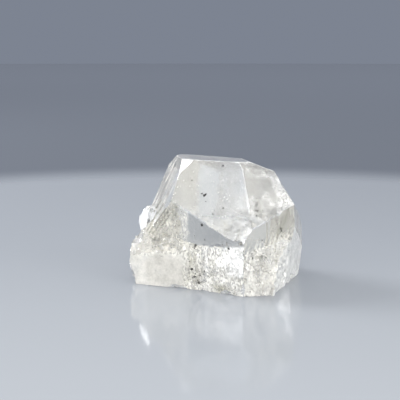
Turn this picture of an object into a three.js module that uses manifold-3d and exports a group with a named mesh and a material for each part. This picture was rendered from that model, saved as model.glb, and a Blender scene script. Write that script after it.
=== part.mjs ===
// A topaz crystal: one clear, natural crystal that stands on the flat cleavage face where it broke
// away from its rock. It is a single solid, bounded by three kinds of surface:
//   1. growth faces: a small basal face on top, pyramid and dome faces round it, upright prism faces;
//   2. a broken root, which spreads past the prism faces on the left, the front right and behind,
//      with a worn knob above it on the left;
//   3. spalls and chips, where pieces have come away along curved, shell-like hollows.
// Millimetres and degrees, +Z up. The side with the two big pyramid faces looks towards -Y.
import * as THREE from 'three';
import { mergeVertices } from 'three/addons/utils/BufferGeometryUtils.js';
import Module from 'manifold-3d';

// ------------------------------------------------------------------ driving dimensions

// A flat face is given by the way its outward normal points: "turn" is its compass direction
// (0 is +X, 90 is +Y) and "tilt" its angle from straight up. "out" is its distance from MIDDLE.
// "ripple" is how deep the hollows of a broken face are, and growth faces have none.
const MIDDLE = new THREE.Vector3(0, 0.82, 13);

const GROWTH_FACES = [
  { name: 'basal', turn: 20, tilt: 1.5, out: 9.6 },
  { name: 'front pyramid', turn: -106.5, tilt: 47.5, out: 8.4 },
  { name: 'front right pyramid', turn: -66, tilt: 46, out: 10.6 },
  { name: 'front bevel', turn: -71.5, tilt: 37, out: 10.55 },
  { name: 'right shoulder', turn: 13.5, tilt: 21, out: 10.7 },
  { name: 'right dome', turn: 2, tilt: 60, out: 13.0 },
  { name: 'right steep dome', turn: -4.5, tilt: 75, out: 14.9 },
  { name: 'upper left facet', turn: -118.8, tilt: 44, out: 9.27 },
  { name: 'left dome', turn: -165, tilt: 63, out: 10.15 },
  { name: 'left bevel', turn: 173, tilt: 48, out: 12.8 },
  { name: 'back left pyramid', turn: 124, tilt: 62, out: 16.2 },
  { name: 'back right pyramid', turn: 62, tilt: 50, out: 10.0 },
  { name: 'front left prism', turn: -128.5, tilt: 90, out: 10.6 },
  { name: 'front corner prism', turn: -114.5, tilt: 90, out: 12.8 },
  { name: 'front right prism', turn: -49, tilt: 90, out: 15.0 },
  { name: 'right end prism', turn: -15, tilt: 88.5, out: 15.6 },
  { name: 'back right prism', turn: 50, tilt: 90, out: 10.9 },
  { name: 'back prism', turn: 87, tilt: 89, out: 12.4 },
  { name: 'back left prism', turn: 128, tilt: 90, out: 10.9 },
  { name: 'left end prism', turn: -174, tilt: 90, out: 13.6 },
];

// The broken root: three lumps that overlap the foot of the crystal.
const LEFT_ROOT = [
  { name: 'smooth front break', turn: -112, tilt: 90, out: 11.75, ripple: 0.15 },
  { name: 'front slope', turn: -120, tilt: 50, out: 5.5, ripple: 0.55 },
  { name: 'top slope', turn: 165, tilt: 45, out: 6.9, ripple: 0.5 },
  { name: 'left side above', turn: 176, tilt: 88, out: 15.8, ripple: 0.3 },
  { name: 'left side below', turn: 180, tilt: 103, out: 18.1, ripple: 0.3 },
  { name: 'back', turn: 112, tilt: 82, out: 9.0, ripple: 0.6 },
  { name: 'inner side', turn: 0, tilt: 90, out: -3 },
];
const RIGHT_ROOT = [
  { name: 'front break', turn: -82, tilt: 90, out: 16.6, ripple: 0.35 },
  { name: 'front slope', turn: -58.5, tilt: 42.5, out: 6.9, ripple: 0.5 },
  { name: 'right side', turn: -15, tilt: 88.5, out: 15.6 },
  { name: 'top', turn: 0, tilt: 30, out: 5.4 },
  { name: 'inner side', turn: 180, tilt: 90, out: -4.4 },
  { name: 'back', turn: 90, tilt: 90, out: 0 },
];
const BACK_ROOT = [
  { name: 'back break', turn: 84, tilt: 86, out: 13.0, ripple: 0.6 },
  { name: 'top slope', turn: 95, tilt: 42, out: 0.2, ripple: 0.6 },
  { name: 'left side', turn: 148, tilt: 80, out: 11.0, ripple: 0.5 },
  { name: 'right side', turn: 32, tilt: 84, out: 12.8, ripple: 0.5 },
  { name: 'inner side', turn: -90, tilt: 90, out: -1 },
  { name: 'top', turn: 0, tilt: 0, out: -1.5 },
];

// The face of one big spall, which cuts through everything near the foot on the right.
const RIGHT_SPALL = { name: 'right spall', turn: -20, tilt: 96.5, out: 16.05, ripple: 0.2 };

// The worn knob on the left, above the root.
const KNOB = [
  { name: 'upper', turn: 176, tilt: 53, out: 11.15 },
  { name: 'side', turn: 178, tilt: 86, out: 14.95 },
  { name: 'under', turn: 180, tilt: 112, out: 15.15 },
  { name: 'front', turn: -150, tilt: 82, out: 12.2 },
  { name: 'front upper', turn: -155, tilt: 60, out: 11.3 },
  { name: 'top', turn: 0, tilt: 28, out: -5.4 },
  { name: 'back', turn: 120, tilt: 80, out: 8.54 },
  { name: 'back upper', turn: 140, tilt: 50, out: 8.5 },
  { name: 'inner side', turn: 0, tilt: 90, out: -6 },
  { name: 'inner front', turn: -60, tilt: 90, out: -4.5 },
];

// Chips are shallow, shell-like hollows: "at" is the place on the surface, measured from the base under
// MIDDLE, "turn" and "tilt" are the way the hollow faces, and it is as wide and as deep as given.
const CHIPS = [
  { name: 'top edge', at: [9.9, -2.0, 21.0], turn: -60, tilt: 30, width: 1.6, depth: 0.3 },
  { name: 'under the knob', at: [-14.4, -4.2, 8.9], turn: 172, tilt: 100, width: 2.6, depth: 0.5 },
  { name: 'left dome corner', at: [-8.6, -8.0, 15.2], turn: -135, tilt: 70, width: 2.4, depth: 0.4 },
  { name: 'tip', at: [4.6, -14.6, 11.7], turn: -80, tilt: 56, width: 2.0, depth: 0.25 },
  { name: 'front corner', at: [4.5, -16.0, 9.8], turn: -85, tilt: 72, width: 1.2, depth: 0.25 },
  { name: 'right shoulder', at: [12.6, -4.0, 17.9], turn: -20, tilt: 50, width: 3.4, depth: 0.25 },
  { name: 'base rim left', at: [-7.4, -9.8, 0.1], turn: -112, tilt: 122, width: 4.4, depth: 0.45 },
  { name: 'base rim front', at: [1.4, -14.4, 0.1], turn: -118, tilt: 120, width: 2.6, depth: 0.4 },
  { name: 'base rim back', at: [4.5, 13.4, 0.2], turn: 84, tilt: 118, width: 8.0, depth: 1.6 },
  { name: 'back left prism', at: [-9.0, 8.4, 6.6], turn: 140, tilt: 78, width: 5.6, depth: 0.9 },
  { name: 'back right prism', at: [11.0, 6.4, 12.6], turn: 40, tilt: 68, width: 8.0, depth: 1.4 },
  { name: 'left flank', at: [-15.9, 3.4, 4.6], turn: 165, tilt: 84, width: 7.0, depth: 0.9 },
];

const MERGE_DISTANCE = 1e-4;  // corners nearer than this are one corner
const SHORT_EDGE = 0.03;      // edges shorter than this are taken out of the finished surface
const CHIP_DETAIL = 9;        // how finely the hollows of chips are faceted

const BLOCK_SIZE = 44;      // rough block that each lump is cut from, and
const BLOCK_HEIGHT = 30;    // its height above the base
const SLAB_SIZE = 100;      // a flat slab this wide and
const SLAB_THICKNESS = 50;  // this thick cuts away everything beyond one face
const RIPPLE_SLAB_SIZE = 60;  // a rippled slab is this wide, with
const RIPPLE_CELLS = 40;      // this many cells across

// ------------------------------------------------------------------ solids: joining and cutting

const manifoldLibrary = await Module();
manifoldLibrary.setup();
const { Manifold, Mesh: ManifoldMesh } = manifoldLibrary;

/** Turns a closed three.js geometry into a solid that can be joined and cut. */
function solidFrom(geometry) {
  const bare = geometry.clone();
  bare.deleteAttribute('normal');
  bare.deleteAttribute('uv');
  const merged = mergeVertices(bare, MERGE_DISTANCE);
  return new Manifold(new ManifoldMesh({
    numProp: 3,
    vertProperties: new Float32Array(merged.attributes.position.array),
    triVerts: new Uint32Array(merged.index.array),
  }));
}

/** Turns a solid back into a three.js geometry. */
function geometryFrom(solid) {
  const mesh = solid.getMesh();
  const geometry = new THREE.BufferGeometry();
  geometry.setAttribute('position', new THREE.Float32BufferAttribute(mesh.vertProperties, 3));
  geometry.setIndex(new THREE.Uint32BufferAttribute(mesh.triVerts, 1));
  geometry.computeVertexNormals();
  return geometry;
}

/** The outward normal of a face, from its turn and tilt. */
function normalOf({ turn, tilt }) {
  const direction = THREE.MathUtils.degToRad(turn);
  const lean = THREE.MathUtils.degToRad(tilt);
  return new THREE.Vector3(
    Math.sin(lean) * Math.cos(direction), Math.sin(lean) * Math.sin(direction), Math.cos(lean));
}

/** Moves a shape built round the Z axis so that its Z axis becomes the face's normal. */
function stand(geometry, face) {
  const up = new THREE.Vector3(0, 0, 1);
  geometry.applyQuaternion(new THREE.Quaternion().setFromUnitVectors(up, normalOf(face)));
  geometry.translate(MIDDLE.x, MIDDLE.y, MIDDLE.z);
  return geometry;
}

/** Everything beyond a face: a thick slab whose near side lies on the face. */
function slabBeyond(face) {
  const slab = new THREE.BoxGeometry(SLAB_SIZE, SLAB_SIZE, SLAB_THICKNESS);
  slab.translate(0, 0, face.out + SLAB_THICKNESS / 2);
  return solidFrom(stand(slab, face));
}

/** Depth of a broken face's hollows at (u, v), from 0 to 1: crossed waves of three lengths. */
function hollowDepth(u, v, phase) {
  const long = Math.sin(0.43 * u + 0.21 * v + phase) * Math.sin(0.37 * v - 0.17 * u + 2.1 * phase);
  const middle = Math.sin(0.97 * u - 0.55 * v + 3.3 * phase) * Math.sin(0.83 * v + 0.31 * u - phase);
  const short = Math.sin(1.7 * u + 1.3 * v - phase) * Math.sin(1.9 * v - 0.6 * u + 5 * phase);
  return 0.5 + 0.28 * long + 0.15 * middle + 0.07 * short;
}

/**
 * The geometry without the tiny edges that cuts leave beside one another. The two ends of
 * such an edge become one corner, the lower of the two, and the triangles on it go. An edge
 * stays where its ends share more than two neighbours, because joining them would pinch
 * the surface.
 */
function withoutShortEdges(geometry) {
  const points = geometry.attributes.position;
  const place = (corner) => new THREE.Vector3().fromBufferAttribute(points, corner);
  const neighbours = (triangles, corner) =>
    new Set(triangles.filter((triangle) => triangle.includes(corner)).flat());
  let triangles = [];
  for (let i = 0; i < geometry.index.count; i += 3) {
    triangles.push([0, 1, 2].map((k) => geometry.index.getX(i + k)));
  }
  const short = triangles.flatMap(([a, b, c]) => [[a, b], [b, c], [c, a]])
    .filter(([from, to]) => from < to && place(from).distanceTo(place(to)) < SHORT_EDGE);
  const joined = new Map();
  const now = (corner) => (joined.has(corner) ? now(joined.get(corner)) : corner);
  for (const [from, to] of short) {
    const [kept, lost] = [now(from), now(to)].sort((a, b) => place(a).z - place(b).z);
    if (kept === lost) continue;
    const others = neighbours(triangles, lost);
    const shared = [...neighbours(triangles, kept)].filter((corner) => others.has(corner));
    if (shared.length !== 4) continue;  // the two ends themselves and two neighbours
    joined.set(lost, kept);
    triangles = triangles.map((triangle) => triangle.map((c) => (c === lost ? kept : c)))
      .filter((triangle) => new Set(triangle).size === 3);
  }
  geometry.setIndex(triangles.flat());
  return geometry;
}

/** A slab whose near side dips into the crystal by the hollows of a broken face. */
function rippledSlabBeyond(face) {
  const slab = new THREE.BoxGeometry(
    RIPPLE_SLAB_SIZE, RIPPLE_SLAB_SIZE, SLAB_THICKNESS, RIPPLE_CELLS, RIPPLE_CELLS, 1);
  slab.translate(0, 0, face.out + SLAB_THICKNESS / 2);
  const points = slab.attributes.position;
  for (let i = 0; i < points.count; i += 1) {
    const [u, v, height] = [points.getX(i), points.getY(i), points.getZ(i)];
    if (height < face.out + 1) {
      points.setZ(i, face.out - face.ripple * hollowDepth(u, v, face.turn));
    }
  }
  return solidFrom(stand(slab, face));
}

/** Cuts a solid along one face, flat or rippled. */
function cutAlong(solid, face) {
  const flat = solid.subtract(slabBeyond(face));
  return face.ripple ? flat.subtract(rippledSlabBeyond(face)) : flat;
}

/** A block that stands on z = 0, cut along each face of a list. */
function cutBlock(faces) {
  const block = new THREE.BoxGeometry(BLOCK_SIZE, BLOCK_SIZE, BLOCK_HEIGHT);
  block.translate(MIDDLE.x, MIDDLE.y, BLOCK_HEIGHT / 2);
  return faces.reduce(cutAlong, solidFrom(block));
}

/** The ball that cuts one chip: its radius follows from the hollow's width and depth. */
function chipCutter(chip) {
  const radius = (chip.width * chip.width / 4 + chip.depth * chip.depth) / (2 * chip.depth);
  const ball = new THREE.IcosahedronGeometry(radius, CHIP_DETAIL);
  const centre = normalOf(chip).multiplyScalar(radius - chip.depth);
  centre.add(new THREE.Vector3(MIDDLE.x, MIDDLE.y, 0)).add(new THREE.Vector3(...chip.at));
  ball.translate(centre.x, centre.y, centre.z);
  return solidFrom(ball);
}

// ------------------------------------------------------------------ the crystal

let solid = cutBlock(GROWTH_FACES);
for (const lump of [LEFT_ROOT, RIGHT_ROOT, BACK_ROOT, KNOB]) solid = solid.add(cutBlock(lump));
solid = cutAlong(solid, RIGHT_SPALL);
for (const chip of CHIPS) solid = solid.subtract(chipCutter(chip));

const clearTopaz = new THREE.MeshStandardMaterial({ color: 0xe4e6e3, roughness: 0.1, metalness: 0 });
const crystal = new THREE.Mesh(withoutShortEdges(geometryFrom(solid)), clearTopaz);
crystal.name = 'crystal';

const part = new THREE.Group();
part.add(crystal);
export default part;
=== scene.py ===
# A topaz crystal: one clear, natural crystal that stands on the flat break where it left its rock.
# Its growth faces, broken root, chips and worn edges are cut from joined blocks, so that it is one body,
# and what is sealed in it (dark grains and healed fractures) is made as small pieces.
# Shapes are worked out in millimetres and go into the meshes in metres.
import functools
import itertools
import math

import bpy
import numpy as np
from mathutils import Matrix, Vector


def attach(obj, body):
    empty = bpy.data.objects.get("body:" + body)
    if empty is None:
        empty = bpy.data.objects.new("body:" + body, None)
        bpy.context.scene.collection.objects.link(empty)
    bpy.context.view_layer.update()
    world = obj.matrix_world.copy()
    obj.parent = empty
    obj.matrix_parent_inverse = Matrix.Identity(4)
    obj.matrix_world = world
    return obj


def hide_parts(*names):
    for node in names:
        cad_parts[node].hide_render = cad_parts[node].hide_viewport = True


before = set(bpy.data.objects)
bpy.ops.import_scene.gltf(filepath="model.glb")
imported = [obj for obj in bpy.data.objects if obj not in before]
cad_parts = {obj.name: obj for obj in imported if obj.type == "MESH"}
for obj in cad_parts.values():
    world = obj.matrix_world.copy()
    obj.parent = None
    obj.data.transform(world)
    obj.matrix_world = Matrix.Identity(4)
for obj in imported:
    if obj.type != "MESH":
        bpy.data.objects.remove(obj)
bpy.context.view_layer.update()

MM = 0.001


# ---- camera

def make_camera():
    """A long lens that looks slightly down on the two big pyramid faces."""
    lens = bpy.data.cameras.new("camera")
    lens.lens, lens.sensor_width = 85, 36
    lens.clip_start, lens.clip_end = 0.01, 20
    camera = bpy.data.objects.new("camera", lens)
    bpy.context.collection.objects.link(camera)
    aim = np.array([-3.25, 0.82, 14.76]) * MM
    elevation, distance = math.radians(9), 180 * MM
    camera.location = aim + distance * np.array([0, -math.cos(elevation), math.sin(elevation)])
    camera.rotation_euler = (math.radians(90) - elevation, 0, 0)
    bpy.context.scene.camera = camera


make_camera()


# ---- random heights

LATTICE = 61   # the tables of random numbers repeat after so many cells


def lattice(u, v, cell):
    """Places counted in lattice cells, and the whole numbers of the cells that they lie in."""
    x, y = u / cell + 23.3, v / cell + 37.7
    return x, y, np.floor(x).astype(int), np.floor(y).astype(int)


def eased(t):
    """A smooth step that goes from 0 at 0 to 1 at 1."""
    return t * t * (3 - 2 * t)


def ramp(low, high, value):
    """0 below low, 1 above high, and a smooth step between; low may be the greater of the two."""
    return eased(np.clip((value - low) / (high - low), 0, 1))


def noise(u, v, cell, seed):
    """Random heights from -1 to 1 on a square lattice, joined by smooth steps."""
    table = np.random.default_rng(seed).uniform(-1, 1, (LATTICE, LATTICE))
    x, y, i, j = lattice(u, v, cell)
    fx, fy = eased(x - i), eased(y - j)
    left, right = i % LATTICE, (i + 1) % LATTICE
    near, far = j % LATTICE, (j + 1) % LATTICE
    low = table[left, near] * (1 - fx) + table[right, near] * fx
    high = table[left, far] * (1 - fx) + table[right, far] * fx
    return low * (1 - fy) + high * fy


def cloudy(u, v, cell, seed):
    """Three lattice noises added up, each turned and half as wide and high as the last, and scaled back."""
    total, height, heights = 0, 1, 0
    for k in range(3):
        total = total + height * noise(u, v, cell, seed + k)
        heights += height
        u, v = 0.8 * u + 0.6 * v, 0.8 * v - 0.6 * u
        cell, height = cell / 2, height / 2
    return total / heights


def facets(u, v, cell, tilt, seed):
    """A hackly break: each point takes the height of a tilted plane through its nearest seed point.

    There is one seed point to a lattice cell. The height is the plane's random slope times the way from
    the seed point, plus a random level."""
    shift_x, shift_y, slope_x, slope_y, level = np.random.default_rng(seed).uniform(
        -1, 1, (5, LATTICE, LATTICE))
    x, y, i, j = lattice(u, v, cell)
    nearest, height = np.full(np.shape(x), 9e9), np.zeros(np.shape(x))
    for di, dj in itertools.product((-1, 0, 1), repeat=2):
        at = (i + di) % LATTICE, (j + dj) % LATTICE
        dx = x - (i + di + 0.5 + 0.45 * shift_x[at])
        dy = y - (j + dj + 0.5 + 0.45 * shift_y[at])
        away = dx * dx + dy * dy
        plane = tilt * (slope_x[at] * dx + slope_y[at] * dy) + 0.4 * tilt * level[at]
        height = np.where(away < nearest, plane, height)
        nearest = np.minimum(away, nearest)
    return cell * height


# ---- reliefs

# A relief is how deep a face lies below its plane, in mm. u runs level along the face, v up it, and "at"
# is the place's x, y and z from BASE_POINT.

def growth(u, v, at, seed, wave=0.02, step=0.012):
    """A growth face: a slight swell, and terraces where a slow noise crosses whole levels."""
    levels = 4 * cloudy(u, v, 5.0, seed)
    return wave * (1 + cloudy(u, v, 3.0, seed + 7)) + step * np.floor(levels + 4)


def striated(u, v, at, seed, depth=0.05):
    """A prism face: grooves that run up it, wide and fine, broken along their length."""
    wide = noise(u, v / 9, 1.1, seed) + 0.6 * noise(u, v / 7, 0.5, seed + 1)
    fine = noise(u, v / 5, 0.27, seed + 2)
    return depth * (1.5 + wide + 0.35 * fine)


def broken(u, v, at, seed, depth=0.3, tilt=0.22):
    """A fracture: large and small tilted facets on a slow swell."""
    return depth * (1 + cloudy(u, v, 4.5, seed)) + facets(u, v, 1.5, tilt, seed + 3) \
        + facets(u, v, 0.6, 0.9 * tilt, seed + 5)


def fine_break(u, v, at, seed):
    """A fracture of fine, low facets on a slow swell."""
    return 0.2 * (1 + cloudy(u, v, 3.5, seed)) + facets(u, v, 0.9, 0.07, seed + 3) \
        + facets(u, v, 0.45, 0.10, seed + 5)


def smooth_break(u, v, at, seed, depth=0.12):
    """A cleavage face: nearly flat, with a slow swell and a few low steps."""
    return depth * (1 + 0.6 * cloudy(u, v, 6.0, seed)) + 0.02 * np.floor(3 * cloudy(u, v, 4.0, seed + 2))


def stepped_spall(u, v, at, seed):
    """The spall: a cleavage face that ends in small steps towards the front and the foot."""
    x, y, z = at
    edge = 0.8 * noise(u, v, 1.4, seed + 61)
    share = np.maximum(ramp(-8.0, -9.8, y + edge), ramp(1.7, 0.5, z + edge))
    steps = 0.26 * (1 + cloudy(u, v, 1.1, seed + 63)) + facets(u, v, 0.9, 0.26, seed + 65)
    return smooth_break(u, v, at, seed) + share * np.maximum(steps, 0)


def chipped_tip(u, v, at, seed):
    """The big pyramid face: a growth face whose lower tip is broken into small facets."""
    x, y, z = at
    tip = ramp(13.9, 13.1, z + 0.5 * noise(u, v, 1.4, seed + 31)) * ramp(-4.2, -2.4, x)
    hollow = 0.10 + 0.1 * cloudy(u, v, 1.6, seed + 33) + facets(u, v, 1.3, 0.10, seed + 35) \
        + facets(u, v, 0.45, 0.14, seed + 37)
    return growth(u, v, at, seed) + tip * np.maximum(hollow, 0)


def streaked_dome(u, v, at, seed):
    """The left dome face: a growth face with fine, faint grooves that run up it."""
    fine = noise(u, v / 14, 0.30, seed + 41) + 0.5 * noise(u, v / 9, 0.7, seed + 43)
    return growth(u, v, at, seed, 0.012) + 0.025 * ramp(0.0, 1.0, fine)


def knobbly(u, v, at, seed):
    """The knob: worn smooth, with a gentle swell."""
    return 0.12 * (1 + cloudy(u, v, 1.8, seed)) + 0.015 * noise(u, v, 0.5, seed + 3)


def foot_top(x):
    """The height where the front prism faces' hackly foot ends."""
    return 8.2 + 0.12 * (x + 3)


def foot_share(x, z):
    """How far a place on the front prism faces belongs to their hackly foot, from 0 to 1."""
    return ramp(0.3, -0.5, z - foot_top(x))


def scored_lines(x, z, outer, inner):
    """The band of slanting grooves on the front left: a sine across them, 1 in a groove and -1 between
    two, and the place's share of the band, which fades from the inner to the outer half width."""
    slant = 0.85 * (x + 11.1) - 0.53 * (z - 12.0)
    pitch = 0.62
    share = ramp(outer, inner, abs(slant)) * ramp(2.9, 2.3, abs(z - 11.6 + 0.6 * slant))
    return np.sin(2 * np.pi * slant / pitch), share


def rough_foot(u, v, at, seed):
    """A front prism face: smooth above, hackly towards its foot, with the scored lines on it."""
    x, y, z = at
    foot = foot_share(x, z + 0.5 * noise(u, v, 1.8, seed + 51))
    hackle = 0.12 * (1 + cloudy(u, v, 2.2, seed + 53)) + facets(u, v, 1.3, 0.2, seed + 55) \
        + facets(u, v, 0.5, 0.18, seed + 57)
    wave, share = scored_lines(x, z, 1.25, 1.0)
    smooth = 0.3 * striated(u, v, at, seed) * (1 - foot) + 0.02
    return smooth + foot * np.maximum(hackle, 0) + 0.09 * ramp(0.0, 0.8, wave) * share


# ---- the faces

MIDDLE = np.array([0, 0.82, 13.0])
BASE_POINT = np.array([0, 0.82, 0])   # the point of the base under MIDDLE, from which places are given

# A face: compass turn of its normal, the normal's tilt from straight up, distance from MIDDLE, relief,
# cell size, and finish. A finish is how frosted it is, how milky with fine cracks, how warm its tint, and
# how far its milk is broken into crisp patches, each from 0 to 1.
HIDDEN = (None, 0, (0, 0, 0, 0))   # an inner face that never shows
ROUGH = (broken, 0.3, (0.25, 0.25, 0.3, 0.6))
CLEAR = (striated, 0.3, (0.1, 0.1, 0.3, 0))
WORN = (knobbly, 0.2, (0.4, 0.85, 0.0, 0))
GROWTH_FACES = {
    "basal": (20, 1.5, 9.6, growth, 0.25, (0.15, 0.22, 0.1, 0.2)),
    "front pyramid": (-106.5, 47.5, 8.4, chipped_tip, 0.2, (0.4, 0.165, 0.25, 0)),
    "front right pyramid": (-66, 46, 10.6, growth, 0.2, (0.3, 0.12, 0.35, 0.3)),
    "front bevel": (-71.5, 37, 10.55, growth, 0.2, (0.2, 0.15, 0.2, 0)),
    "right shoulder": (13.5, 21, 10.7, growth, 0.25, (0.15, 0.15, 0.2, 0)),
    "right dome": (2, 60, 13.0, growth, 0.25, (0.2, 0.15, 0.3, 0)),
    "right steep dome": (-4.5, 75, 14.9, growth, 0.25, (0.2, 0.15, 0.3, 0)),
    # The upper left facet's near-white milk is a painted reflection: it paints the bright sky that this
    # facet mirrors.
    "upper left facet": (-118.8, 44, 9.27, growth, 0.2, (0.5, 0.95, 0.0, 0)),
    "left dome": (-165, 63, 10.15, streaked_dome, 0.2, (0.15, 0.15, 0.4, 0)),
    "left bevel": (173, 48, 12.8, growth, 0.25, (0.06, 0.08, 0.1, 0)),
    "back left pyramid": (124, 62, 16.2, growth, 0.3, (0.15, 0.1, 0.3, 0)),
    "back right pyramid": (62, 50, 10.0, growth, 0.3, (0.15, 0.1, 0.3, 0)),
    "front left prism": (-128.5, 90, 10.6, rough_foot, 0.2, (0.02, 0.0, 0.2, 0)),
    "front corner prism": (-114.5, 90, 12.8, rough_foot, 0.2, (0.02, 0.0, 0.2, 0)),
    "front right prism": (-49, 90, 15.0, striated, 0.2, (0.25, 0.31, 1.0, 0)),
    "right end prism": (-15, 88.5, 15.6, striated, 0.25, (0.2, 0.25, 0.6, 0.3)),
    "back right prism": (50, 90, 10.9, *CLEAR),
    "back prism": (87, 89, 12.4, striated, 0.3, (0.06, 0.06, 0.3, 0)),
    "back left prism": (128, 90, 10.9, *CLEAR),
    "left end prism": (-174, 90, 13.6, striated, 0.3, (0.2, 0.2, 0.3, 0)),
}
LEFT_ROOT = {
    "left smooth break": (-112, 90, 11.75, smooth_break, 0.2, (0.3, 0.58, 1.0, 0)),
    "left front slope": (-120, 50, 5.5, fine_break, 0.2, (0.25, 0.13, 1.0, 1.0)),
    "left top slope": (165, 45, 6.9, broken, 0.25, (0.2, 0.2, 0.4, 0.3)),
    "left side above": (176, 88, 15.8, broken, 0.25, (0.15, 0.2, 0.2, 0.3)),
    "left side below": (180, 103, 18.1, broken, 0.25, (0.15, 0.2, 0.2, 0.3)),
    "left back": (112, 82, 9.0, broken, 0.3, (0.2, 0.2, 0.3, 0.5)),
    "left inner": (0, 90, -3, *HIDDEN),
}
RIGHT_ROOT = {
    "right front break": (-82, 90, 16.6, broken, 0.2, (0.15, 0.43, 0.9, 0.35)),
    "right front slope": (-58.5, 42.5, 6.9, broken, 0.2, (0.15, 0.26, 0.6, 0.5)),
    "right side": (-15, 88.5, 15.6, striated, 0.25, (0.15, 0.2, 0.3, 0.3)),
    "right top": (0, 30, 5.4, None, 0, CLEAR[-1]),
    "right inner": (180, 90, -4.4, *HIDDEN),
    "right back": (90, 90, 0, *HIDDEN),
}
BACK_ROOT = {
    "back break": (84, 86, 13.0, *ROUGH),
    "back top slope": (95, 42, 0.2, *ROUGH),
    "back left side": (148, 80, 11.0, *ROUGH),
    "back right side": (32, 84, 12.8, *ROUGH),
    "back inner": (-90, 90, -1, *HIDDEN),
    "back top": (0, 0, -1.5, *HIDDEN),
}
# The spall is cut off last, below the right end prism face.
SPALL = (-20, 96.5, 16.05, stepped_spall, 0.2, (0.4, 0.78, 0.4, 0))

KNOB = {
    "knob upper": (176, 53, 11.15, *WORN),
    "knob side": (178, 86, 14.95, *WORN),
    "knob under": (180, 112, 15.15, knobbly, 0.2, (0.3, 0.5, 0.3, 0)),
    "knob front": (-150, 82, 12.2, *WORN),
    "knob front upper": (-155, 60, 11.3, *WORN),
    "knob top": (0, 28, -5.4, *WORN),
    "knob back": (120, 80, 8.54, *WORN),
    "knob back upper": (140, 50, 8.5, *WORN),
    "knob inner": (0, 90, -6, None, 0, WORN[-1]),
    "knob inner front": (-60, 90, -4.5, None, 0, WORN[-1]),
}

# Chips: place from BASE_POINT, turn and tilt that the hollow faces, width and depth.
CHIPS = [
    ((9.9, -2.0, 21.0), -60, 30, 1.6, 0.3),
    ((-14.4, -4.2, 8.9), 172, 100, 2.6, 0.5),
    ((-8.6, -8.0, 15.2), -135, 70, 2.4, 0.4),
    ((4.6, -14.6, 11.7), -80, 56, 2.0, 0.25),
    ((4.5, -16.0, 9.8), -85, 72, 1.2, 0.25),
    ((12.6, -4.0, 17.9), -20, 50, 3.4, 0.25),
    ((-7.4, -9.8, 0.1), -112, 122, 4.4, 0.45),
    ((1.4, -14.4, 0.1), -118, 120, 2.6, 0.4),
    ((4.5, 13.4, 0.2), 84, 118, 8.0, 1.6),
    ((-9.0, 8.4, 6.6), 140, 78, 5.6, 0.9),
    ((11.0, 6.4, 12.6), 40, 68, 8.0, 1.4),
    ((-15.9, 3.4, 4.6), 165, 84, 7.0, 0.9),
]

ZONES = []   # the names of the surfaces, in the order of the numbers that their polygons carry


def zone_number(name):
    """The number of a named surface, a new one if it has none yet."""
    if name not in ZONES:
        ZONES.append(name)
    return ZONES.index(name)


def normal_of(turn, tilt):
    """The direction that a face of this turn and tilt looks in."""
    turn, tilt = math.radians(turn), math.radians(tilt)
    return np.array([math.sin(tilt) * math.cos(turn), math.sin(tilt) * math.sin(turn), math.cos(tilt)])


def axes_of(normal):
    """Two directions in a face: one level, one up the slope."""
    level = np.cross([0, 0, 1], normal) + [1e-9, 0, 0]
    level = level / np.linalg.norm(level)
    return level, np.cross(normal, level)


def corners_of(planes):
    """The corners of the convex block inside all the planes, and which planes meet at each."""
    found = []
    for trio in itertools.combinations(range(len(planes)), 3):
        normals = np.array([planes[k][0] for k in trio])
        if abs(np.linalg.det(normals)) < 1e-6:
            continue
        point = np.linalg.solve(normals, [planes[k][1] for k in trio])
        if all(n @ point <= d + 1e-6 for n, d in planes):
            found.append((point, set(trio)))
    return found


# ---- meshes and cutting

def mesh_object(name, points, faces, zone=0):
    """A mesh object from an array of points in millimetres and lists of faces."""
    mesh = bpy.data.meshes.new(name)
    mesh.from_pydata(points.tolist(), [], faces)
    mesh.polygons.foreach_set("material_index", np.full(len(mesh.polygons), zone, dtype=np.int32))
    mesh.update()
    made = bpy.data.objects.new(name, mesh)
    bpy.context.collection.objects.link(made)
    return made


def grid_faces(rows, columns):
    """Quads of a grid of points numbered row by row."""
    a = (np.arange(rows - 1)[:, None] * columns + np.arange(columns - 1)[None, :]).ravel()
    return np.stack([a, a + 1, a + columns + 1, a + columns], 1)


def ring_faces(number):
    """Quads between closed rings of numbered points, given as one row for each ring."""
    after = np.roll(number, -1, axis=1)
    return np.stack([number[:-1], number[1:], after[1:], after[:-1]], -1).reshape(-1, 4).tolist()


def from_base_point(places):
    """The x, y and z of places, counted from BASE_POINT."""
    return np.moveaxis(places - BASE_POINT, -1, 0)


REACH = 90   # how far a slab's near side spreads, and how high its far point is, in mm
BLOCK_SIDE, BLOCK_TOP = 44.0, 30.0   # the rough block that each lump is cut from, in mm


def slab(name, foot, normal, level, rise, lines_u, lines_v, relief, zone):
    """The space beyond a face, as a pyramid on a relief.

    The relief's point at (u, v) is the foot plus u and v along the face, less the depth along the
    normal. Its border joins one far point above the face."""
    lines_u = np.concatenate([[-REACH], lines_u, [REACH]])
    lines_v = np.concatenate([[-REACH], lines_v, [REACH]])
    u, v = np.meshgrid(lines_u, lines_v)
    flat = foot + u[..., None] * level + v[..., None] * rise
    depth = relief(u, v, from_base_point(flat)) if relief else 0 * u
    points = flat - depth[..., None] * normal
    rows, columns = u.shape
    points = np.concatenate([points.reshape(-1, 3), [foot + REACH * normal]])
    faces = grid_faces(rows, columns)[:, ::-1].tolist()   # the near side faces back into the crystal
    number = np.arange(rows * columns).reshape(rows, columns)
    ring = np.concatenate([number[0, :-1], number[:-1, -1], number[-1, :0:-1], number[:0:-1, 0]])
    tip = rows * columns
    faces += np.stack([ring, np.roll(ring, -1), np.full(len(ring), tip)], 1).tolist()
    return mesh_object(name, points, faces, zone)


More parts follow.
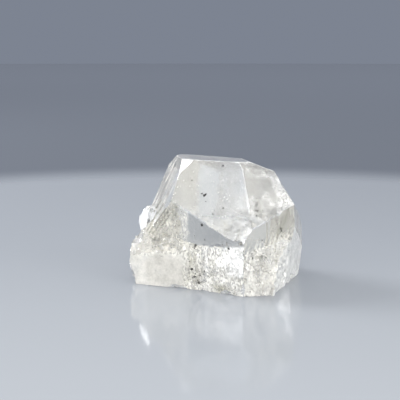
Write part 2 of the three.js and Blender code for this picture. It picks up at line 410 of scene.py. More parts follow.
def rough_block():
    """A block round the axis, on the base."""
    x = np.array([-1, 1]) * BLOCK_SIDE / 2
    points = np.array(list(itertools.product(x, x + MIDDLE[1], (0.0, BLOCK_TOP))))
    faces = [(0, 1, 3, 2), (4, 6, 7, 5), (0, 4, 5, 1), (2, 3, 7, 6), (0, 2, 6, 4), (1, 5, 7, 3)]
    return mesh_object("block", points, faces, zone_number("base"))


def carve(body, cutters, how="DIFFERENCE"):
    """The body with every cutter taken off it or joined to it."""
    group = bpy.data.collections.new("cutters")
    for cutter in cutters:
        group.objects.link(cutter)
    modifier = body.modifiers.new("carve", "BOOLEAN")
    modifier.operation, modifier.solver, modifier.material_mode = how, "MANIFOLD", "INDEX"
    modifier.operand_type, modifier.collection = "COLLECTION", group
    bpy.context.view_layer.update()
    carved = bpy.data.meshes.new_from_object(
        body.evaluated_get(bpy.context.evaluated_depsgraph_get()))
    body.modifiers.clear()
    old, body.data = body.data, carved
    if len(carved.polygons) == len(old.polygons):
        raise RuntimeError("a cut did not take: " + cutters[0].name)
    bpy.data.meshes.remove(old)
    bpy.data.collections.remove(group)
    for cutter in cutters:
        mesh = cutter.data
        bpy.data.objects.remove(cutter)
        bpy.data.meshes.remove(mesh)
    return body


def face_slab(name, face, corners, seed):
    """The slab beyond one named face, with a fine grid over the part of it that shows."""
    turn, tilt, out, kind, cell = face[:5]
    normal = normal_of(turn, tilt)
    level, rise = axes_of(normal)
    foot = MIDDLE + out * normal
    if kind is None or not len(corners):
        return slab(name, foot, normal, level, rise, [-1, 1], [-1, 1], None, zone_number(name))
    u, v = (corners - foot) @ level, (corners - foot) @ rise
    lines_u = np.arange(u.min() - 0.6, u.max() + 0.6, cell)
    lines_v = np.arange(v.min() - 0.6, v.max() + 0.6, cell)
    return slab(name, foot, normal, level, rise, lines_u, lines_v,
                lambda a, b, at: kind(a, b, at, seed), zone_number(name))


FACE_DEPTH = 0.06   # how deep the growth faces' relief lies under their planes, in mm
SHALLOW = math.cos(math.radians(14))   # faces whose normals differ by less than this wear no edge
LESS_WORN = {"left dome": 0.4}   # faces whose edges are worn less wide than the others, and how wide


def worn_edge(one, other, start, end, seed, width):
    """The slab that takes off the sharp edge between two faces.

    It lies square to the middle of the two normals, as deep as the faces' own relief plus half its
    width times the slope of a face from it, and the width changes by chance."""
    normal = one + other
    normal = normal / np.linalg.norm(normal)
    slope = math.tan(0.5 * math.acos(one @ other))
    along = (end - start) / np.linalg.norm(end - start)
    across = np.cross(along, normal)
    length = np.linalg.norm(end - start)
    lines_u = np.arange(-1.2, 1.21, 0.2)
    lines_v = np.arange(-0.4, length + 0.4, 0.2)

    def relief(u, v, at):
        chance = 1 + 0.9 * cloudy(v, u * 0.3, 0.7, seed) + 0.6 * noise(u, v, 0.3, seed + 9)
        bite = 1.2 * ramp(0.5, 0.9, noise(v, 0 * u, 1.6, seed + 4))
        return FACE_DEPTH + 0.5 * slope * width * (chance + bite) * (abs(u) < 2)

    return slab("worn edge", start, normal, across, along, lines_u, lines_v, relief,
                zone_number("worn edge"))


def cut_block(faces, seed, wear):
    """A convex block bounded by the named faces, the base and the rough block, its edges worn so wide."""
    planes = [(normal_of(*face[:2]), normal_of(*face[:2]) @ MIDDLE + face[2]) for face in faces.values()]
    planes += [(np.array([0, 0, -1.0]), 0.0), (np.array([0, 0, 1.0]), BLOCK_TOP)]
    for axis, side in itertools.product((0, 1), (-1, 1)):
        n = np.zeros(3)
        n[axis] = side
        planes.append((n, BLOCK_SIDE / 2 + side * MIDDLE[axis]))
    corners = corners_of(planes)
    body = rough_block()
    names = list(faces)
    slabs = []
    for k, (name, face) in enumerate(faces.items()):
        mine = np.array([point for point, met in corners if k in met]).reshape(-1, 3)
        slabs.append(face_slab(name, face, mine, seed + 20 * k))
    for a, b in itertools.combinations(range(len(faces) if wear else 0), 2):
        ends = [point for point, met in corners if a in met and b in met]
        one, other = planes[a][0], planes[b][0]
        if len(ends) >= 2 and np.linalg.norm(ends[0] - ends[-1]) > 0.3 and one @ other < SHALLOW:
            width = min(LESS_WORN.get(names[a], 1), LESS_WORN.get(names[b], 1)) * wear
            slabs.append(worn_edge(one, other, ends[0], ends[-1], seed + 11 * a + b, width))
    return carve(body, slabs)


def chip_ball(chip):
    """The middle and radius of the ball that cuts a chip of a given width and depth."""
    at, turn, tilt, width, depth = chip
    radius = (width * width / 4 + depth * depth) / (2 * depth)
    return np.array(at) + BASE_POINT + normal_of(turn, tilt) * (radius - depth), radius


def chip_cutter(chip, seed):
    """The ball that cuts one shell-like chip, as circles round the pole that faces into the crystal.

    Its radius changes by a wave of the distance from one side of the hollow and by a cloudy noise."""
    at, turn, tilt, width, depth = chip
    centre, radius = chip_ball(chip)
    pole = -normal_of(turn, tilt)
    side = np.cross(pole, [0.31, 0.52, 0.79])
    side /= np.linalg.norm(side)
    other = np.cross(pole, side)

    def stretch(down, around):
        x, y = radius * np.sin(down) * np.cos(around), radius * np.sin(down) * np.sin(around)
        ring = np.hypot(x - 0.6 * width, y)
        ripple = 0.02 * np.sin(ring * 7 / max(width, 1)) * depth \
            + 0.45 * depth * cloudy(x, y, 0.3 * width, seed)
        return 1 + ripple / radius

    rim, columns = 0.75 * width / radius, 72
    downs = np.concatenate([np.arange(0.12, 1.3 * rim * radius, 0.2) / radius,
                            np.linspace(1.35 * rim, np.pi, 10)[:-1]])
    down, around = np.meshgrid(downs, np.linspace(0, 2 * np.pi, columns, endpoint=False), indexing="ij")
    way = (np.sin(down) * np.cos(around))[..., None] * side \
        + (np.sin(down) * np.sin(around))[..., None] * other + np.cos(down)[..., None] * pole
    points = centre + way * stretch(down, around)[..., None] * radius
    ends = [centre + pole * stretch(angle, 0.0) * sign * radius for angle, sign in ((0.0, 1), (np.pi, -1))]
    top = down.size
    number = np.arange(top).reshape(down.shape)
    faces = ring_faces(number)
    faces += np.stack([np.full(columns, top), number[0], np.roll(number[0], -1)], 1).tolist()
    faces += np.stack([number[-1], np.full(columns, top + 1), np.roll(number[-1], -1)], 1).tolist()
    return mesh_object("chip", np.concatenate([points.reshape(-1, 3), ends]), faces, zone_number("chip"))


# The blocks that are joined: their faces, random seed and how wide their edges are worn.
BLOCKS = [(GROWTH_FACES, 100, 0.3), (LEFT_ROOT, 700, 0), (RIGHT_ROOT, 900, 0), (BACK_ROOT, 1100, 0),
          (KNOB, 1250, 0.6)]
SPALL_SEED, CHIP_SEED = 1300, 1400


def crystal_shape():
    """The whole crystal: the blocks joined, then the spall and the chips cut off."""
    body, *others = [cut_block(faces, seed, wear) for faces, seed, wear in BLOCKS]
    carve(body, others, "UNION")
    foot = MIDDLE + SPALL[2] * normal_of(*SPALL[:2])
    reach = foot + np.array([[x, y, z] for x in (-16, 16) for y in (-12, 12) for z in (-14, 8)])
    carve(body, [face_slab("right spall", SPALL, reach, SPALL_SEED)])
    carve(body, [chip_cutter(chip, CHIP_SEED + 10 * k) for k, chip in enumerate(CHIPS)])
    return body


crystal = crystal_shape()


# ---- materials

def add_node(tree, kind, inputs=(), **settings):
    """A new node, with inputs set to values or joined to other nodes."""
    node = tree.nodes.new("ShaderNode" + kind)
    for name, value in settings.items():
        setattr(node, name, value)
    for key, value in dict(inputs).items():
        if isinstance(value, bpy.types.NodeSocket):
            tree.links.new(value, node.inputs[key])
        else:
            node.inputs[key].default_value = value
    return node


def empty_tree(owner):
    """The function that adds nodes to a material's or a world's tree, once that is emptied."""
    owner.use_nodes = True
    owner.node_tree.nodes.clear()
    return functools.partial(add_node, owner.node_tree)


def colour_ramp(add, value, low, low_colour, high, high_colour, how="LINEAR"):
    """A colour that goes from one to another as a value goes from low to high."""
    node = add("ValToRGB", {"Fac": value})
    node.color_ramp.interpolation = how
    for element, place, colour in zip(node.color_ramp.elements, (low, high), (low_colour, high_colour)):
        element.position, element.color = place, colour
    return node.outputs["Color"]


def painted(name, colour, roughness):
    """A material of one roughness and one colour, or the colour that a function works out."""
    material = bpy.data.materials.new(name)
    add = empty_tree(material)
    paint = add("BsdfPrincipled", {"Base Color": colour(add) if callable(colour) else (*colour, 1),
                                   "Roughness": roughness})
    add("OutputMaterial", {"Surface": paint.outputs["BSDF"]})
    return material


# Every surface's finish, by its name.
FINISH = {"base": (0.5, 0.3, 0.3, 0.3), "chip": (0.2, 0.4, 0.3, 0.3), "worn edge": (0.4, 0.5, 0.0, 0),
          "right spall": SPALL[-1]}
for faces, seed, wear in BLOCKS:
    FINISH.update({name: face[-1] for name, face in faces.items()})


def topaz_material():
    """Clear topaz that soaks up a little light, with milk, frost, warmth and stain from its attributes.

    The milk is the "milk" attribute times a soft or a crisp pattern; "crackle" mixes the two patterns."""
    material = bpy.data.materials.new("clear_topaz")
    add = empty_tree(material)
    place = add("TexCoord").outputs["Object"]

    def attribute(name):
        """One of the polygons' attributes."""
        return add("Attribute", attribute_name=name).outputs["Fac"]

    def maths(operation, *values):
        """The result of a sum on numbers and sockets."""
        return add("Math", dict(enumerate(values)), operation=operation).outputs[0]

    def tinted(amount, one, other):
        """A mix of two colours by an amount."""
        return add("Mix", {0: amount, 6: one, 7: other}, data_type="RGBA").outputs[2]

    def grain(scale, detail, gain, shift):
        """A cloudy pattern, with its contrast and brightness changed by gain and shift."""
        node = add("TexNoise", {"Scale": scale, "Detail": detail, "Roughness": 0.6, "Vector": place})
        return maths("MULTIPLY_ADD", node.outputs["Fac"], gain, shift)

    def splinters():
        """Upright angular cells, some of them white and some clear."""
        leaning = (0, math.radians(-20), 0)
        stretch = add("Mapping", {"Scale": (1, 1, 0.6), "Rotation": leaning, "Vector": place})
        cells = add("TexVoronoi", {"Scale": 3800, "Vector": stretch.outputs["Vector"]})
        chance = add("SeparateXYZ", {0: cells.outputs["Color"]})
        white = maths("MULTIPLY_ADD", chance.outputs["X"], 4.0, -1.2)
        return maths("MINIMUM", maths("MAXIMUM", white, 0.0), 1.0)

    patches = grain(450, 3, 2.2, -0.6)
    fine = grain(2600, 2, 2.4, -0.7)
    soft = maths("ADD", maths("MULTIPLY_ADD", patches, 0.4, 0.4), maths("MULTIPLY_ADD", fine, 0.2, 0.1))
    crisp = maths("ADD", maths("MULTIPLY", splinters(), maths("MULTIPLY_ADD", patches, 0.85, 0.45)),
                  maths("MULTIPLY_ADD", fine, 0.4, 0.22))
    mixed = add("Mix", {0: attribute("crackle"), 2: soft, 3: crisp}).outputs[0]
    milk = maths("MINIMUM", maths("MAXIMUM", maths("MULTIPLY", attribute("milk"), mixed), 0.0), 1.0)
    frost = maths("MULTIPLY", attribute("frost"), maths("MULTIPLY_ADD", fine, 0.5, 0.6))
    clean = tinted(attribute("warm"), (0.97, 0.98, 1.0, 1), (0.98, 0.95, 0.88, 1))
    stained = maths("MULTIPLY", attribute("stain"), maths("MULTIPLY_ADD", fine, 0.6, 0.7))
    bump = add("Bump", {"Distance": 0.00004, "Strength": 0.35,
                        "Height": maths("MULTIPLY", fine, attribute("frost"))})
    glass = add("BsdfPrincipled", {
        "IOR": 1.62, "Transmission Weight": maths("SUBTRACT", 1.0, milk),
        "Roughness": maths("MULTIPLY_ADD", frost, 0.6, 0.015),
        "Base Color": tinted(stained, clean, (0.60, 0.58, 0.47, 1)), "Normal": bump.outputs["Normal"]})
    soak = add("VolumeAbsorption", {"Color": (0.95, 0.95, 0.88, 1), "Density": 8.0})
    add("OutputMaterial", {"Surface": glass.outputs["BSDF"], "Volume": soak.outputs["Volume"]})
    return material


def read(items, name, size):
    """One value of every vertex or polygon, or so many values of each, as one long array."""
    values = np.empty(size * len(items))
    items.foreach_get(name, values)
    return values


class Finishes:
    """Each polygon's frost, milk, warmth, crackle and stain, which start as its surface's own.

    x, y and z are its middle in mm; cloud and streaks are patterns of soft patches and upright streaks."""

    def __init__(self, mesh):
        self.zone = read(mesh.polygons, "material_index", 1).astype(int)
        self.x, self.y, self.z = read(mesh.polygons, "center", 3).reshape(-1, 3).T
        own = np.array([FINISH[name] for name in ZONES])
        self.frost, self.milk, self.warm, self.crackle = own[self.zone].T
        self.stain = np.zeros(len(self.zone))
        self.cloud = ramp(-0.2, 0.5, cloudy(self.x + 0.4 * self.y, self.z, 1.1, 91))
        self.streaks = ramp(-0.1, 0.7, cloudy(self.x, 0.35 * self.z, 0.8, 95))

    def on(self, *names):
        """Which polygons lie on the named surfaces."""
        return np.isin(self.zone, [ZONES.index(name) for name in names])

    def change(self, where, **values):
        """Give some polygons new values."""
        for name, value in values.items():
            setattr(self, name, np.where(where, value, getattr(self, name)))


def spot(x, z, middle_x, middle_z, half_x, half_z):
    """A soft spot: e to the minus square of the way from its middle."""
    return np.exp(-((x - middle_x) / half_x) ** 2 - ((z - middle_z) / half_z) ** 2)


def finish_pyramids(f):
    """The left pyramid face is warm on its left and milky at its tip; the right one has a brown patch."""
    x, z = f.x, f.z
    tip = ramp(13.9, 13.1, z) * ramp(-4.2, -2.4, x)
    f.change(f.on("front pyramid"), frost=f.frost + 0.25 * tip, crackle=tip,
             milk=f.milk + tip * (0.15 * f.cloud - 0.02) + 0.05 * ramp(0, 2.5, x) * (1 - tip),
             warm=0.55 * (1 - ramp(-1.5, 1.8, x)), stain=0.35 * tip * f.streaks)
    brown = spot(x, z, 7.2, 15, 0.6, 1.4)
    f.change(f.on("front right pyramid"), milk=f.milk + 0.2 * f.cloud + 0.2 * ramp(10, 11.5, x),
             crackle=f.crackle + 0.4 * ramp(10.5, 12, x),
             stain=brown * (0.4 + 0.6 * f.streaks) + 0.08 * f.streaks)


def finish_edges_and_chips(f):
    """Worn edges, milky where they are chipped, with a painted highlight that makes them whitest at the top
    and under the pyramid faces, and the chips in front.
    """
    x, z = f.x, f.z
    # painted highlight: extra white milk on the worn edges at the top and under the pyramid faces, standing
    # in for the light that these edges catch
    painted_edge_highlight = ramp(2.5, 3.5, x) * ramp(9, 7.5, x) * ramp(11.5, 12.5, z) + 0.4 * ramp(19, 21, z)
    f.change(f.on("worn edge"), milk=0.12 + 0.25 * f.cloud + 0.28 * painted_edge_highlight)
    f.change(f.on("chip") & (z > 9) & (f.y < -10), milk=0.35 + 0.35 * f.cloud)
    f.change(f.on("chip") & (z > 7) & (x < -12), milk=0.15)


def finish_left_dome(f):
    """The left dome face: white lines that run up it."""
    level, rise = axes_of(normal_of(*GROWTH_FACES["left dome"][:2]))
    lines = ramp(0.1, 0.7, noise(f.x * level[0] + f.y * level[1], 0.12 * f.z, 0.4, 97))
    f.change(f.on("left dome"), milk=f.milk + 0.3 * lines)


def finish_front_prisms(f):
    """The front prism faces: a clear pane, rough and stained beside it, over a milky, crackled foot with
    a white block that a seam parts, an olive spot at the base and a smudge at the upper left."""
    x, z = f.x, f.z
    foot = foot_share(x, z)
    beside = ramp(-5.1, -5.7, x + 0.35 * cloudy(x, z, 0.9, 92)) * (1 - foot)
    fading = ramp(1.7, 0, z - foot_top(x)) * (1 - foot) * (1 - beside)
    edge = 0.9 * cloudy(x, z, 1.0, 93)
    white = ramp(0.6, 1.5, x + edge) * ramp(4.9, 4.1, x - 0.4 * edge) * ramp(2.9, 3.9, z + edge) * foot
    seam = ramp(0.34, 0.16, abs(x - 1.75 + 0.2 * noise(z, x, 1.0, 90))) * ramp(3.4, 4.4, z)
    white = white * (1 - 0.55 * seam)
    upper_foot = ramp(-2.8, -2.2, x) * ramp(4.8, 5.3, z) * foot
    low_milk = foot * (0.43 + 0.36 * f.cloud * (0.5 + 0.5 * upper_foot) + 0.2 * upper_foot)
    milk = np.maximum(0.9 * white, low_milk) + beside * (0.24 + 0.22 * f.cloud) \
        + 0.1 * fading + 0.05 * ramp(-1, -3, x) * (1 - foot)
    olive = spot(x, z, 0.5, 0.8, 1.4, 0.9)
    smudge = spot(x, z, -8.6, 14.0, 0.9, 0.8) * (0.4 + 0.6 * f.streaks)
    stain = beside * (0.12 + 0.35 * f.streaks) + 0.2 * foot * f.streaks * (1 - white)
    f.change(f.on("front left prism", "front corner prism"), frost=f.frost + 0.4 * beside,
             milk=milk * (1 - 0.4 * olive), warm=np.where(foot > 0.5, 0.45 + 0.3 * (1 - white), 1.0),
             crackle=0.6 * beside + foot * (0.9 - 0.3 * white),
             stain=np.maximum(stain, np.maximum(olive, smudge)))


def finish_left_root(f):
    """The left root: a smooth break, crackled at its right end and top, with a brown band where it meets
    the prism face, and a rough slope above it."""
    x, z = f.x, f.z
    rough_end = ramp(-6.6, -6.1, x)
    upper = ramp(5.3, 6.5, z + 0.8 * noise(x, z, 1.1, 94))
    f.change(f.on("left smooth break"), crackle=np.maximum(0.9 * rough_end, 0.8 * upper),
             milk=f.milk + rough_end * (0.15 * f.cloud - 0.12) + 0.15 * upper * (f.cloud - 0.5),
             stain=rough_end * (0.1 + 0.4 * f.streaks) + 0.3 * upper * f.streaks)
    band = np.exp(-((x + 4.7) / 0.9) ** 2) * ramp(3.6, 4.6, z) * ramp(8.2, 7.2, z)
    f.change(f.on("left smooth break", "front left prism", "front corner prism"),
             stain=np.maximum(f.stain, band * (0.35 + 0.5 * f.streaks)))
    low = ramp(9.4, 7.4, z + 1.2 * noise(x, z, 1.2, 96))
    left_end = ramp(-12.0, -13.4, x + 0.6 * cloudy(x, z, 1.2, 99))
    f.change(f.on("left front slope"), crackle=1 - 0.6 * left_end,
             milk=f.milk + low * (0.26 * f.cloud - 0.05) * (1 - 0.4 * left_end) + 0.1 * left_end,
             stain=(0.33 + 0.5 * f.streaks) * (1 - 0.6 * np.maximum(low, left_end)))


def finish_scored_lines(f):
    """The scored lines: darker in the grooves and a little milky between them."""
    wave, share = scored_lines(f.x, f.z, 1.6, 1.3)
    share = np.where(f.on("front left prism", "left dome", "worn edge", "left front slope"), share, 0)
    line = ramp(0.1, 0.7, wave)
    f.stain = np.maximum(f.stain, 1.3 * share * line)
    f.milk = f.milk * (1 - share) + share * (0.05 + 0.25 * (1 - line))


def finish_front_right(f):
    """The front right: flowing streaks on the rough break and just above it, a white fan near the spall,
    and brown grooves at the right edge of the prism face."""
    x, z = f.x, f.z
    flow = ramp(-0.3, 0.5, noise(x - 0.3 * z, 0.2 * z, 0.42, 88))
    fan = np.exp(-((0.82 * (x - 10.9) - 0.57 * (z - 5)) / 1.0) ** 2 - ((z - 5) / 3) ** 2)
    calmer = 1 - 0.4 * ramp(4, 2.5, z)
    for name, fan_milk in (("right front slope", 0.25), ("right front break", 0.5)):
        f.change(f.on(name), milk=f.milk * (0.68 + 0.66 * flow) + fan_milk * fan,
                 crackle=f.crackle * calmer, stain=(0.15 + 0.35 * ramp(5, 6.5, z)) * f.streaks)
    near_break = ramp(2.4, 0, z - 8.0 - 0.2 * (x - 6))
    grooves = ramp(0.2, 0.6, noise(x - 0.25 * z, 0.2 * z, 0.3, 98)) * ramp(10.3, 10.9, x) * ramp(7, 9, z)
    f.change(f.on("front right prism"), milk=f.milk + near_break * (0.4 * flow - 0.08) + 0.5 * fan,
             crackle=np.maximum(f.crackle, 0.5 * near_break) * calmer,
             stain=0.28 - 0.08 * ramp(9, 10.5, x) + 0.6 * grooves)
    f.change(f.on("right spall"), stain=0.1 + 0.12 * f.streaks)


def finish_crystal(body):
    """Give the crystal its finish, material and size in metres, and hand it to the frame."""
    mesh = body.data
    mesh.name = body.name = "topaz"
    finishes = Finishes(mesh)
    for finish in (finish_pyramids, finish_edges_and_chips, finish_left_dome, finish_front_prisms,
                   finish_left_root, finish_scored_lines, finish_front_right):
        finish(finishes)
    for name in ("frost", "milk", "warm", "crackle", "stain"):
        layer = mesh.attributes.new(name, "FLOAT", "FACE")
        layer.data.foreach_set("value", getattr(finishes, name).astype(np.float32))
    mesh.vertices.foreach_set("co", read(mesh.vertices, "co", 3) * MM)
    mesh.polygons.foreach_set("material_index", np.zeros(len(mesh.polygons), dtype=np.int32))
    mesh.materials.clear()
    mesh.materials.append(topaz_material())
    mesh.polygons.foreach_set("use_smooth", np.ones(len(mesh.polygons), dtype=bool))
    mesh.set_sharp_from_angle(angle=math.radians(22))
    mesh.update()
    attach(body, "root")
    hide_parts("crystal")


finish_crystal(crystal)


# ---- what is sealed in the crystal

def depth_inside(places):
    """How deep places lie in the crystal, in mm: in each block the least way to a face, less the relief
    there; of all blocks the most; and no more than the way to a chip or the spall."""
    depth = np.full(places.shape[:-1], -9.0)

    def below(face, seed):
        turn, tilt, out, relief = face[:4]
        normal = normal_of(turn, tilt)
        level, rise = axes_of(normal)
        way = places - MIDDLE - out * normal
        flat = places - (way @ normal)[..., None] * normal
        hollow = relief(way @ level, way @ rise, from_base_point(flat), seed) if relief else 0
        return -(way @ normal) - hollow

    for faces, seed, wear in BLOCKS:
        inside = np.minimum.reduce([below(face, seed + 20 * k) for k, face in enumerate(faces.values())])
        depth = np.maximum(depth, inside)
    depth = np.minimum(depth, places[..., 2])
    depth = np.minimum(depth, below(SPALL, SPALL_SEED))
    for chip in CHIPS:
        centre, radius = chip_ball(chip)
        depth = np.minimum(depth, np.linalg.norm(places - centre, axis=-1) - radius)
    return depth


def sunk(places, depth, least_step):
    """Places moved straight back from the front, or forward if a step may be negative, until they lie so
    deep inside the crystal, each time by most of what is missing."""
    straight_back = [0, 0.99, -0.16]
    for step in range(5):
        short = np.maximum(depth - depth_inside(places), least_step)
        places = places + 0.8 * short[:, None] * straight_back
    return places


def scattered(name, shape, faces, places, frames, sizes):
    """One mesh of many copies of a small closed shape, each the shape's points times the copy's sizes,
    along its own three directions, at its place."""
    points = np.einsum("nij,nkj->nki", frames, shape[None] * sizes[:, None, :]) + places[:, None, :]
    count = len(shape)
    numbers = (np.asarray(faces)[None] + count * np.arange(len(places))[:, None, None]).reshape(-1, 3)
    return mesh_object(name, points.reshape(-1, 3) * MM, numbers.tolist())


def frames_about(normals, draws):
    """Three directions for each normal, turned about it by chance; the third is the normal."""
    third = normals / np.linalg.norm(normals, axis=1)[:, None]
    first = np.cross(third, draws.normal(size=third.shape))
    first /= np.linalg.norm(first, axis=1)[:, None]
    return np.stack([first, np.cross(third, first), third], -1)


def grain_shape():
    """An angular grain: a twisted octahedron with uneven corners."""
    points = np.array([[1, 0.1, 0], [0.1, 0.8, 0.2], [-0.9, 0.2, -0.2], [-0.1, -1, 0.1], [0.1, 0.1, 0.9],
                       [-0.2, 0.1, -1]])
    faces = [(0, 1, 4), (1, 2, 4), (2, 3, 4), (3, 0, 4), (1, 0, 5), (2, 1, 5), (3, 2, 5), (0, 3, 5)]
    return points, faces


# Single dark grains: place from BASE_POINT, on or near the surface, and size in mm.
GRAINS = [
    ((-2.5, -7.5, 16.8), 0.6), ((-2.9, -7.3, 17.1), 0.45), ((-2.2, -7.4, 17.0), 0.4),
    ((1.0, -3.8, 21.8), 0.45), ((-4.7, -4.5, 19.2), 0.45), ((0.9, -10.3, 14.9), 0.4),
    ((-0.9, -10.7, 13.9), 0.35), ((-2.2, -8.9, 15.9), 0.25), ((1.4, -9.2, 15.6), 0.2),
    ((-2.9, -11.2, 12.0), 0.65), ((1.8, -14.8, 8.4), 0.5), ((-4.7, -10.8, 3.8), 0.6),
    ((-3.6, -11.2, 3.9), 0.25), ((-3.2, -11.4, 2.8), 0.3), ((-4.1, -11.0, 3.0), 0.3),
    ((-2.9, -11.4, 3.5), 0.25), ((6.0, -15.9, 7.0), 0.3), ((7.6, -15.7, 5.1), 0.25),
    ((5.6, -16.0, 0.9), 0.3), ((8.4, -12.6, 6.4), 0.3), ((7.8, -13.1, 9.6), 0.3),
    ((13.0, -9.0, 6.9), 0.2), ((-2.4, -11.7, 9.4), 0.3), ((4.6, -14.0, 6.4), 0.2),
    ((6.2, -13.6, 5.0), 0.25), ((-9.2, 0.8, 18.5), 0.4), ((-8.3, -5.0, 16.2), 0.3),
    ((-7.6, -6.4, 14.4), 0.4),
]
# Clusters of fine dark grains: middle from BASE_POINT, spread along x, y and z, count and size. Those in
# front lie at the surface.
GRAIN_CLUSTERS = [
    ((-4.1, -10.5, 7.8), (0.3, 0.2, 0.4), 26, 0.21),
    ((-3.2, -10.8, 7.4), (0.2, 0.2, 0.2), 8, 0.18),
    ((-3.4, -10.3, 3.0), (0.9, 0.4, 1.1), 30, 0.17),
    ((-2.55, -11.0, 3.3), (0.28, 0.2, 0.2), 18, 0.18),
    ((-3.5, -11.0, 1.4), (0.32, 0.2, 0.16), 20, 0.19),
    ((-4.25, -11.0, 2.5), (0.15, 0.2, 0.25), 10, 0.19),
    ((-2.3, -11.0, 2.1), (0.2, 0.2, 0.2), 8, 0.18),
    ((0.2, -10.0, 14.2), (1.2, 0.5, 0.8), 24, 0.13),
    ((-8.4, -6.0, 15.0), (0.6, 1.0, 0.5), 22, 0.15),
    ((6.95, -11.6, 15.2), (0.22, 0.2, 0.8), 30, 0.2),
    ((7.6, -11.6, 14.2), (1.2, 0.4, 0.8), 20, 0.14),
    ((11.45, -10.0, 10.6), (0.14, 0.2, 0.5), 14, 0.24),
    ((10.6, -10.5, 12.4), (0.7, 0.3, 0.4), 18, 0.17),
    ((5.9, -14.0, 6.9), (0.12, 0.2, 0.4), 12, 0.24),
    ((7.9, -13.5, 6.9), (0.14, 0.2, 0.5), 12, 0.22),
    ((7.5, -12.0, 6.5), (2.4, 1.2, 1.6), 40, 0.15),
    ((11.0, -9.6, 16.0), (0.6, 0.6, 1.8), 26, 0.13),
    ((-11.5, -6.6, 8.2), (1.4, 0.9, 0.8), 34, 0.17),
    ((-8.4, -7.4, 10.6), (1.0, 0.9, 1.4), 30, 0.16),
    ((0.0, 4.0, 9.0), (5.0, 3.5, 4.0), 40, 0.15),
]
GRAIN_SEED, VEIL_SEED = 300, 2000


def grain_group(k):
    """One group of grains, drawn from its own seed; group 0 is the single grains.

    Gives their places, half sizes and depths, the least steps they may be moved, their directions and
    sizes along them. A cluster's places are normally distributed about its middle."""
    draws = np.random.default_rng(GRAIN_SEED + k)
    if k == 0:
        places = np.array([place for place, size in GRAINS])
        half = np.array([size for place, size in GRAINS]) / 2
        depth, least_step, stretch = -0.2, -1, (1.0, 1.2)   # a tenth of each grain stands out
    else:
        middle, spread, count, size = GRAIN_CLUSTERS[k - 1]
        places = np.array(middle) + draws.normal(size=(count, 3)) * spread
        half = size / 2 * draws.uniform(0.5, 1.6, count)
        depth, least_step, stretch = 0.2, -1 if middle[1] < 0 else 0, (0.8, 1.3)
    frames = frames_about(draws.normal(size=places.shape), draws)
    radii = half[:, None] * draws.uniform(*stretch, places.shape)
    return places + BASE_POINT, half, depth * half, np.full(len(half), least_step), frames, radii


def dark_grains():
    """All the grains as one mesh, without those that would lie outside the crystal."""
    groups = [grain_group(k) for k in range(len(GRAIN_CLUSTERS) + 1)]
    places, half, depth, least_step, frames, radii = map(np.concatenate, zip(*groups))
    places = sunk(places, depth, least_step)
    within = depth_inside(places) > -0.3 * half
    shape, faces = grain_shape()
    return scattered("dark_grains", shape, faces, places[within], frames[within], radii[within])


# Healed cracks are lacy films. Each: middle from BASE_POINT, turn and tilt of its normal, half its width
# and height, bend, size of its pattern, the share that is film, and how square it is (2 is an ellipse).
VEILS = {
    "centre_block": ((2.9, -14.4, 5.9), -114, 90, 1.5, 2.3, 0.0, (0.6, 0.9), 0.93, 8),
    "centre_left": ((-0.6, -12.1, 6.3), -126, 90, 2.2, 1.5, 0.1, (0.5, 0.6), 0.72, 6),
    "centre_low": ((1.4, -13.4, 2.4), -122, 88, 3.6, 1.9, 0.2, (0.4, 0.5), 0.55, 4),
    "corner_left": ((-4.4, -10.0, 4.0), -112, 88, 1.6, 3.2, 0.3, (0.4, 0.7), 0.45, 4),
    "beside_window": ((-7.6, -6.6, 11.2), -128, 84, 1.7, 2.6, 0.3, (0.8, 0.9), 0.42, 2),
    "slope_inner": ((-9.6, -6.7, 6.9), -120, 55, 3.4, 1.3, 0.2, (0.6, 0.4), 0.42, 2),
    "left_inner": ((-9.6, -7.9, 2.9), -112, 90, 4.2, 2.6, 0.2, (1.6, 2.0), 0.85, 4),
    "right_streaks": ((8.0, -14.3, 5.2), -78, 84, 2.6, 2.4, 0.3, (0.35, 1.6), 0.50, 3),
    "right_bright": ((11.2, -10.9, 6.0), -50, 70, 1.7, 2.4, 0.3, (0.5, 1.6), 0.66, 3),
    "right_low": ((8.0, -14.5, 2.0), -82, 88, 3.2, 1.6, 0.2, (0.5, 0.5), 0.60, 4),
    "tip_inner": ((1.6, -12.2, 12.0), -104, 50, 2.6, 0.8, 0.2, (0.5, 0.4), 0.5, 2),
    "spall_inner": ((13.0, -5.4, 4.6), -20, 94, 3.0, 2.6, 0.3, (1.2, 1.4), 0.35, 2),
    "foot_crack": ((0.5, 1.0, 3.4), 60, 6, 10.0, 8.0, 0.9, (2.2, 1.6), 0.22, 2),
    "back_left": ((-6.0, 7.0, 3.4), 120, 78, 4.5, 1.8, 0.6, (1.0, 1.2), 0.35, 2),
    "back_right": ((7.5, 8.0, 3.4), 60, 80, 4.5, 1.8, 0.6, (1.0, 1.2), 0.35, 2),
}
VEIL_CELL, VEIL_THICKNESS = 0.13, 0.03


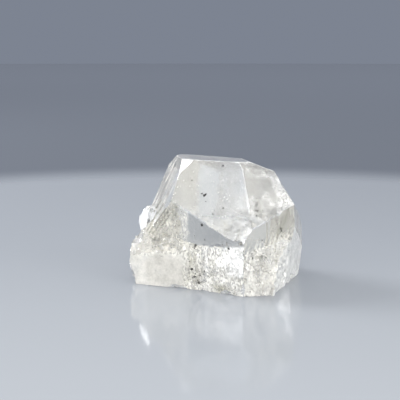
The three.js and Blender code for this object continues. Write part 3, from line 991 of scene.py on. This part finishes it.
def veil(name, seed):
    """A lacy film: a bent sheet of square cells, kept where a stretched noise, less a fade towards the
    rim, is highest."""
    middle, turn, tilt, half_u, half_v, bend, (grain_u, grain_v), share, square = VEILS[name]
    normal = normal_of(turn, tilt)
    level, rise = axes_of(normal)
    u, v = np.meshgrid(np.arange(-half_u, half_u, VEIL_CELL), np.arange(-half_v, half_v, VEIL_CELL),
                       indexing="ij")
    out = (u / half_u) ** 2 + (v / half_v) ** 2
    lift = bend * out + 0.12 * cloudy(u, v, 1.4, seed)
    points = np.array(middle) + BASE_POINT + u[..., None] * level + v[..., None] * rise \
        + lift[..., None] * normal
    mid_u, mid_v = u[:-1, :-1], v[:-1, :-1]
    rim = abs(mid_u / half_u) ** square + abs(mid_v / half_v) ** square
    across, along = mid_u / grain_u, mid_v / grain_v
    value = noise(across, along, 1.0, seed + 1) + 0.6 * noise(across, along, 0.45, seed + 2) \
        + 0.35 * noise(mid_u, mid_v, 0.2, seed + 3) - 1.6 * ramp(0.55, 1.05, rim)
    kept = value > np.quantile(value[rim < 1], 1 - share)
    kept &= depth_inside(points)[:-1, :-1] > 0.15
    return film(name, points, normal, kept)


def film(name, points, normal, kept):
    """The kept cells of a grid as closed plates, with walls where a kept cell meets an empty one."""
    rows, columns = points.shape[:2]
    number = np.arange(rows * columns).reshape(rows, columns)
    half = 0.5 * VEIL_THICKNESS * normal
    both = np.concatenate([(points + half).reshape(-1, 3), (points - half).reshape(-1, 3)])
    under = rows * columns
    a, b, c, d = number[:-1, :-1][kept], number[1:, :-1][kept], number[1:, 1:][kept], number[:-1, 1:][kept]
    faces = [np.stack([a, b, c, d], 1), np.stack([d, c, b, a], 1) + under]
    padded = np.pad(kept, 1)
    for (di, dj), (p, q) in {(0, -1): (a, b), (1, 0): (b, c), (0, 1): (c, d), (-1, 0): (d, a)}.items():
        open_side = ~padded[1 + di:rows + di, 1 + dj:columns + dj][kept]
        p, q = p[open_side], q[open_side]
        faces.append(np.stack([q, p, p + under, q + under], 1))
    faces = np.concatenate(faces)
    used, faces = np.unique(faces, return_inverse=True)
    return mesh_object(name, both[used] * MM, faces.reshape(-1, 4).tolist())


def seal(piece, material):
    """Give a piece inside the crystal its material and hand it to the frame."""
    piece.data.materials.append(material)
    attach(piece, "root")


seal(dark_grains(), painted("dark_grain", (0.012, 0.011, 0.010), 0.5))
pale_film = painted("healed_fracture", (0.95, 0.94, 0.91), 0.35)
for k, name in enumerate(VEILS):
    seal(veil(name, VEIL_SEED + 10 * k), pale_film)


# ---- floor and light

def make_floor():
    """A round pale table top that darkens softly towards its rim."""
    turns, rings = 96, 24
    radius = np.concatenate([[0.02], np.geomspace(0.03, 3.0, rings - 1)])
    angle = np.linspace(0, 2 * np.pi, turns, endpoint=False)
    r, a = np.meshgrid(radius, angle, indexing="ij")
    just_below = -0.05 * MM
    points = np.stack([r * np.cos(a), r * np.sin(a), 0 * r + just_below], -1).reshape(-1, 3)
    number = np.arange(rings * turns).reshape(rings, turns)
    floor = mesh_object("floor", points, ring_faces(number) + [number[0].tolist()])

    def colour(add):
        """Pale near the middle and darker far from it."""
        away = add("VectorMath", {0: add("TexCoord").outputs["Object"]}, operation="LENGTH")
        twice = add("Math", {0: away.outputs["Value"], 1: 2.0}, operation="MULTIPLY")
        return colour_ramp(add, twice.outputs[0], 0.275, (0.295, 0.316, 0.348, 1),
                           0.36, (0.10, 0.11, 0.13, 1), "EASE")

    floor.data.materials.append(painted("pale_floor", colour, 0.09))


def make_world():
    """A grey studio: even round the horizon, brighter overhead."""
    world = bpy.data.worlds.new("studio")
    bpy.context.scene.world = world
    add = empty_tree(world)
    split = add("SeparateXYZ", {0: add("TexCoord").outputs["Generated"]})
    sky = colour_ramp(add, split.outputs["Z"], 0.2, (0.205, 0.23, 0.285, 1), 0.62, (1.38, 1.38, 1.36, 1))
    add("OutputWorld", {"Surface": add("Background", {"Color": sky}).outputs[0]})


def make_light(name, at, towards, width, height, power, colour=(1, 1, 1), mirrored=True):
    """A soft box of a width and height in metres that faces a point, itself unseen, mirrored or not."""
    light = bpy.data.lights.new(name, "AREA")
    light.shape, light.size, light.size_y = "RECTANGLE", width, height
    light.energy, light.color = power, colour
    made = bpy.data.objects.new(name, light)
    bpy.context.collection.objects.link(made)
    at, towards = np.array(at, float), np.array(towards, float)
    made.location = at
    made.rotation_euler = Vector(towards - at).to_track_quat("-Z", "Y").to_euler()
    made.visible_camera = False
    made.visible_glossy = made.visible_transmission = mirrored


make_floor()
make_world()
make_light("key_light", (-0.45, 0.26, 0.30), (0, 0, 0.01), 0.22, 0.3, 3.6, (1.0, 0.99, 0.97))
make_light("fill_light", (0.5, -0.35, 0.25), (0, 0, 0.01), 0.3, 0.4, 1.0)
make_light("front_light", (-0.05, -0.75, 0.17), (0, 0, 0.01), 0.4, 0.22, 4.3, mirrored=False)
bpy.context.scene.view_settings.view_transform = "Standard"
